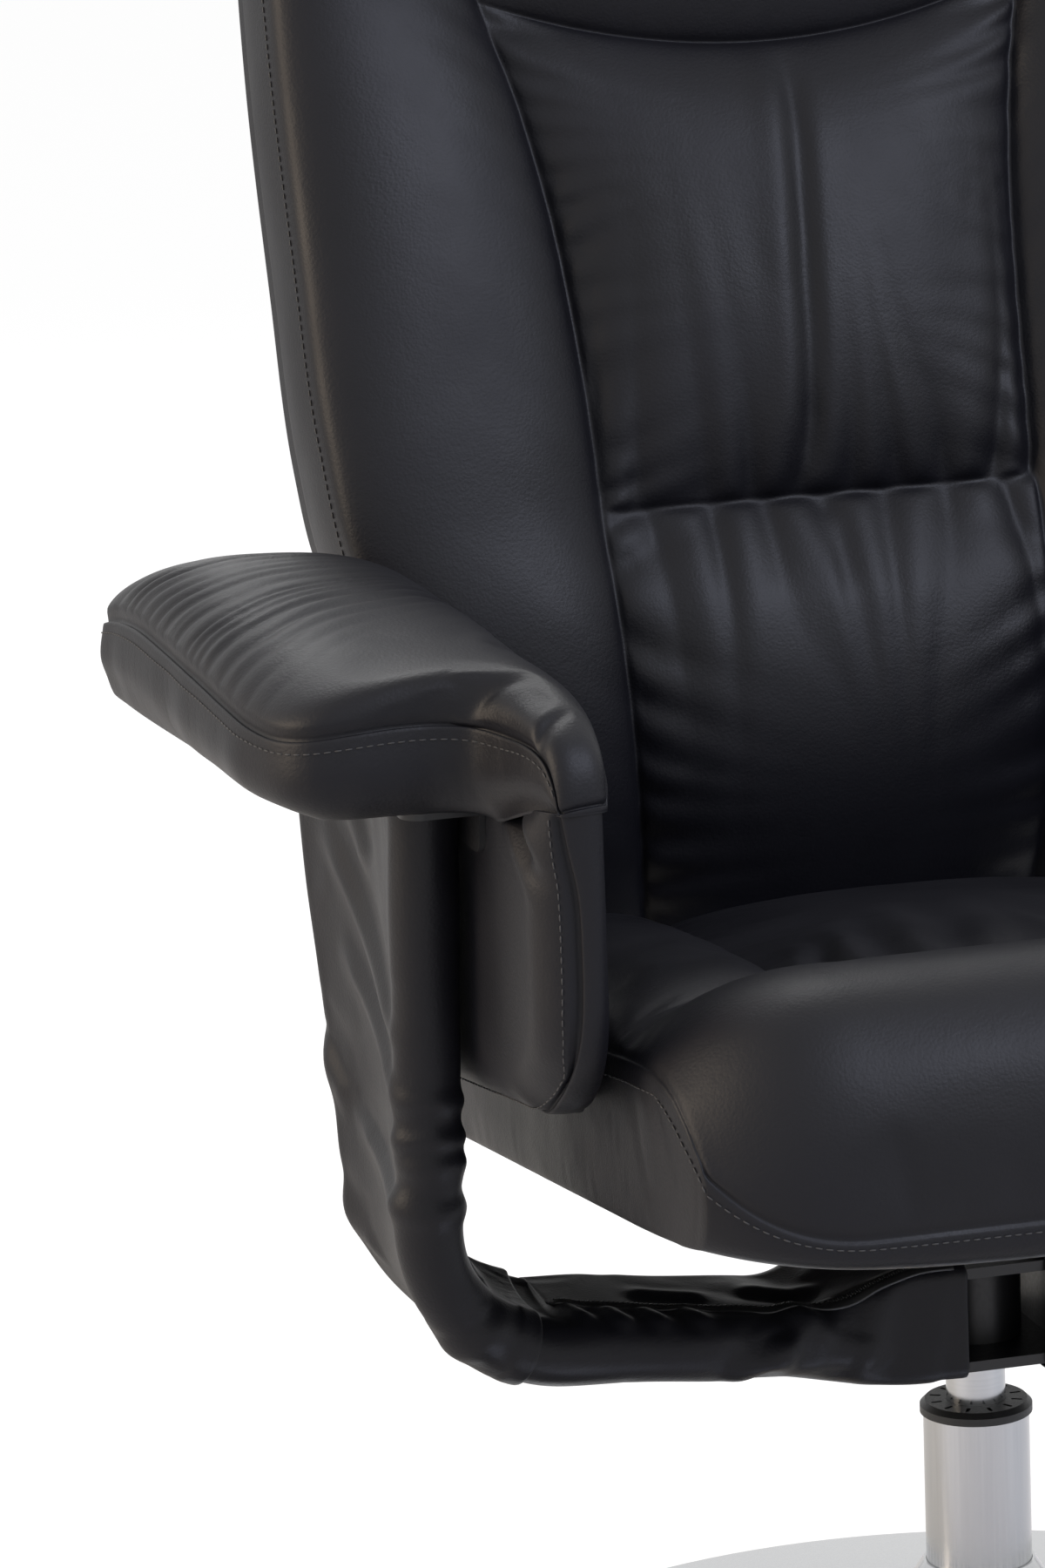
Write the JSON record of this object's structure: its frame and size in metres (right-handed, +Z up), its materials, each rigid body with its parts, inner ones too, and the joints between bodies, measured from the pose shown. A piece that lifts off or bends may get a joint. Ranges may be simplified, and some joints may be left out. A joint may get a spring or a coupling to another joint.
{
  "type": "reclining swivel chair",
  "caption": "Upholstered swivel recliner: padded seat, winged back and arm pads on bent sleeved tubes over a round chromed pedestal base.",
  "frame": {"origin": "centre of the base's underside on the floor, on the swivel axis", "axes": "+Z up along the swivel axis, the sitter faces -Y, the arm on the left of the picture is at -X"},
  "size_m": [0.7252, 0.7241, 0.9816],
  "materials": {
    "chrome": "polished chrome plate",
    "ballast_steel": "mill finish",
    "rubber_underlay": "matt",
    "black_steel": "satin black powder coat",
    "zinc_steel": "bright zinc",
    "ground_steel": "ground and oiled",
    "black_nylon": "moulded, matt",
    "black_leather": "soft grained, semi-gloss",
    "plywood": "bare birch plywood",
    "pine": "sawn pine",
    "elastic_webbing": "woven",
    "dust_cloth": "non-woven"
  },
  "bodies": {
    "base": {"base_underlay": "rubber_underlay", "base_ballast": "ballast_steel", "base_cover": "chrome", "column_socket": "black_steel", "socket_bolts": "zinc_steel", "column_bell": "chrome", "column_tube": "chrome", "column_bush": "black_nylon", "guide_bush": "black_nylon", "thrust_race": "ground_steel", "thrust_cage": "black_nylon"},
    "swivel": {"thrust_cap": "ground_steel", "swivel_shaft": "ground_steel", "frame_hub": "black_steel", "arm_bolts": "zinc_steel", "arm_screws": "zinc_steel", "plate_screws": "zinc_steel", "pivot_bolts": "zinc_steel", "front_tube_left": "black_steel", "front_tube_right": "black_steel", "rear_tube_left": "black_steel", "rear_tube_right": "black_steel", "cross_sleeve_left": "black_leather", "cross_sleeve_right": "black_leather", "upright_sleeve_left": "black_leather", "upright_sleeve_right": "black_leather", "arm_bracket_left": "black_steel", "arm_bracket_right": "black_steel", "arm_core_left": "plywood", "arm_core_right": "plywood", "arm_board_left": "plywood", "arm_board_right": "plywood", "arm_panel_left": "black_leather", "arm_panel_right": "black_leather", "arm_pad_left": "black_leather", "arm_pad_right": "black_leather", "side_plate_left": "black_steel", "side_plate_right": "black_steel"},
    "back": {"friction_washers": "black_nylon", "link_screws": "zinc_steel", "back_board": "plywood", "back_rear_pad": "black_leather", "back_cushion": "black_leather", "recline_link_left": "black_steel", "recline_link_right": "black_steel"},
    "seat": {"seat_glides": "black_nylon", "runner_screws": "zinc_steel", "seat_frame": "pine", "seat_webbing": "elastic_webbing", "seat_dust_cover": "dust_cloth", "seat_cushion": "black_leather", "seat_runner_left": "black_steel", "seat_runner_right": "black_steel"}
  },
  "joints": [
    {"name": "swivel_turn", "type": "hinge", "parent": "base", "child": "swivel", "pos_m": [0, 0, 0], "axis": [0, 0, 1], "continuous": true},
    {"name": "back_recline", "type": "hinge", "parent": "swivel", "child": "back", "pos_m": [0, 0.16, 0.44], "axis": [-1, 0, 0], "range_deg": [0, 25]},
    {"name": "seat_slide", "type": "slide", "parent": "swivel", "child": "seat", "axis": [0, -0.9914, 0.1305], "range_m": [0, 0.0456]}
  ],
  "couplings": [
    {"joint": "seat_slide", "follows": "back_recline", "m_per_rad": 0.10417}
  ]
}
